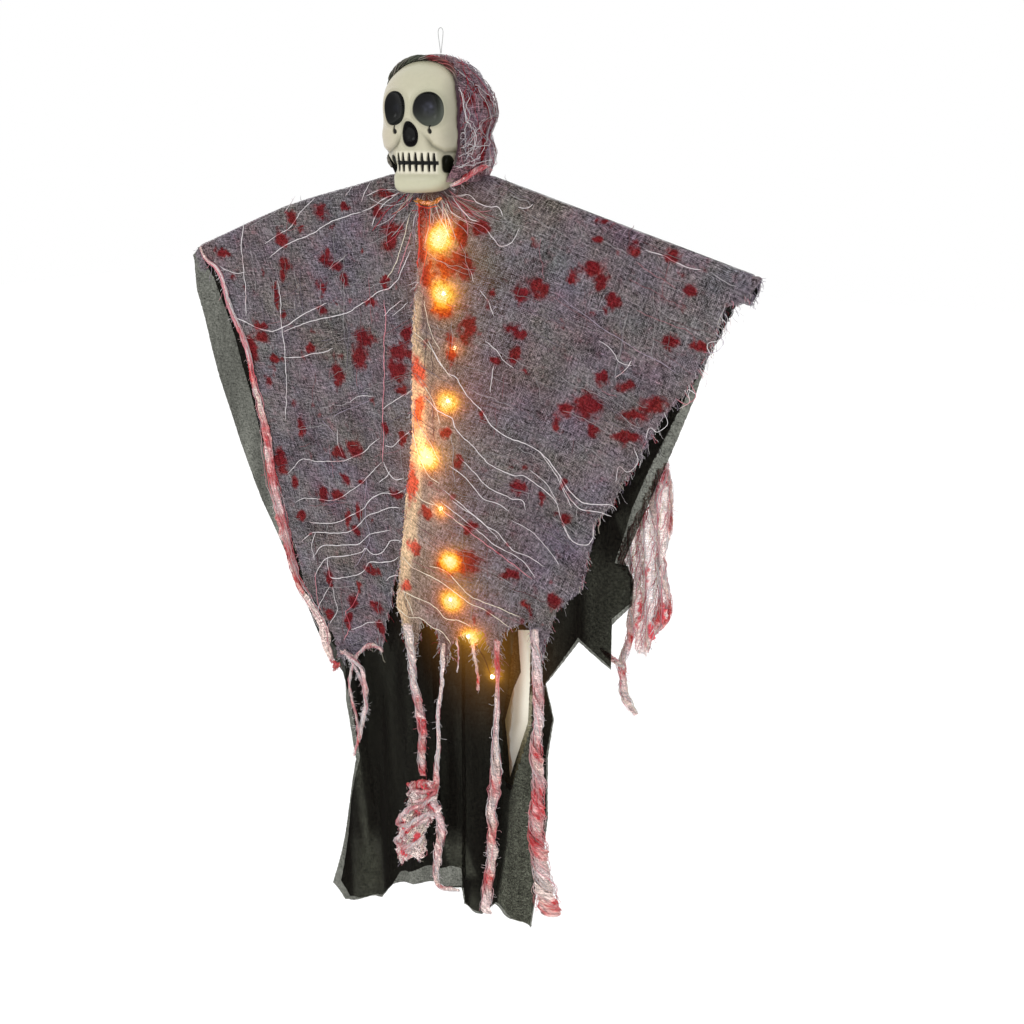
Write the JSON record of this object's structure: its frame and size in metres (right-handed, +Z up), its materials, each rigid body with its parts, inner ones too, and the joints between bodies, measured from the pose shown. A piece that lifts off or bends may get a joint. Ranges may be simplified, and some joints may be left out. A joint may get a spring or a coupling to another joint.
{
  "type": "hanging ghost decoration",
  "caption": "Hooded skull ghost that hangs from a thread loop: black robe and ragged gauze spread on bendable shoulder wires, with a battery light string down the front.",
  "frame": {"origin": "the point where the hanging loop bears on its hook, at the top of the object", "axes": "+Z up along the thread, -Y the way the face looks, +X the ghost's own left"},
  "size_m": [0.6259, 0.1215, 0.9556],
  "materials": {
    "black_nonwoven": "spun-bonded black non-woven, thin and slightly see-through",
    "grey_gauze": "loose open-weave gauze, grey lilac with dark red blotches, pulled white threads",
    "twisted_gauze": "twisted gauze strips, pink, white and dark red",
    "nylon_thread": "thin translucent nylon thread",
    "bone_plastic": "cream moulded plastic with glossy black sockets",
    "resin_drop": "clear warm resin drop over a lit diode",
    "copper_lead": "fine lacquered copper wire",
    "shoulder_wire": "soft iron wire, dark",
    "black_moulding": "black injection moulding",
    "nickel_contact": "nickel-plated strip",
    "cell_steel": "plain steel coin cell",
    "tape": "black woven tape",
    "case_plastic": "translucent white moulding"
  },
  "bodies": {
    "hanger": {"hanging_loop": "nylon_thread"},
    "crown": {"loop_knot": "nylon_thread", "crown_washer": "case_plastic"},
    "head": {"skull_face": "bone_plastic", "skull_back": "bone_plastic", "neck_socket": "bone_plastic", "hood_lining": "black_nonwoven", "hood_gauze": "grey_gauze"},
    "torso": {"shoulder_yoke": "black_moulding", "neck_tie": "nylon_thread", "robe_front_left": "black_nonwoven", "robe_front_right": "black_nonwoven", "robe_back_left": "black_nonwoven", "robe_back_right": "black_nonwoven", "gauze_front_left": "grey_gauze", "gauze_front_right": "grey_gauze", "gauze_back_left": "grey_gauze", "gauze_back_right": "grey_gauze", "gauze_tail_1": "twisted_gauze", "gauze_tail_2": "twisted_gauze", "gauze_tail_3": "twisted_gauze", "gauze_tail_4": "twisted_gauze", "gauze_tail_5": "twisted_gauze", "gauze_tail_6": "twisted_gauze", "gauze_tail_7": "twisted_gauze", "gauze_tail_8": "twisted_gauze", "throat_tie": "twisted_gauze", "battery_case": "case_plastic", "button_cell_front": "cell_steel", "button_cell_rear": "cell_steel", "contact_spring": "nickel_contact", "contact_side": "nickel_contact", "case_hanger": "tape", "wire_gland": "case_plastic", "led_wire": "copper_lead", "led_bead_01": "resin_drop", "led_bead_02": "resin_drop", "led_bead_03": "resin_drop", "led_bead_04": "resin_drop", "led_bead_05": "resin_drop", "led_bead_06": "resin_drop", "led_bead_07": "resin_drop", "led_bead_08": "resin_drop", "led_bead_09": "resin_drop", "led_bead_10": "resin_drop"},
    "arm_left": {"arm_wire_left": "shoulder_wire", "arm_tip_left": "black_moulding", "arm_sleeve_left": "black_nonwoven"},
    "arm_right": {"arm_wire_right": "shoulder_wire", "arm_tip_right": "black_moulding", "arm_sleeve_right": "black_nonwoven"},
    "battery_cover": {"battery_cover": "case_plastic"},
    "switch": {"switch_slider": "black_moulding"}
  },
  "joints": [
    {"name": "hang_swing", "type": "hinge", "parent": "hanger", "child": "crown", "pos_m": [0, 0, -0.0212], "axis": [1, 0, 0], "range_deg": [-20, 20]},
    {"name": "hang_turn", "type": "hinge", "parent": "crown", "child": "head", "pos_m": [0, 0, -0.0212], "axis": [0, 0, 1], "continuous": true},
    {"name": "neck_turn", "type": "hinge", "parent": "head", "child": "torso", "pos_m": [0, 0, -0.11], "axis": [0, 0, 1], "range_deg": [-25, 25]},
    {"name": "arm_left_bend", "type": "hinge", "parent": "torso", "child": "arm_left", "pos_m": [0.045, 0, -0.131], "axis": [0, -1, 0], "range_deg": [-25, 20]},
    {"name": "arm_right_bend", "type": "hinge", "parent": "torso", "child": "arm_right", "pos_m": [-0.045, 0, -0.131], "axis": [0, 1, 0], "range_deg": [-25, 20]},
    {"name": "cover_slide", "type": "slide", "parent": "torso", "child": "battery_cover", "axis": [0, 0, -1], "range_m": [0, 0.026]},
    {"name": "switch_slide", "type": "slide", "parent": "torso", "child": "switch", "axis": [0, 0, 1], "range_m": [0, 0.003]}
  ]
}
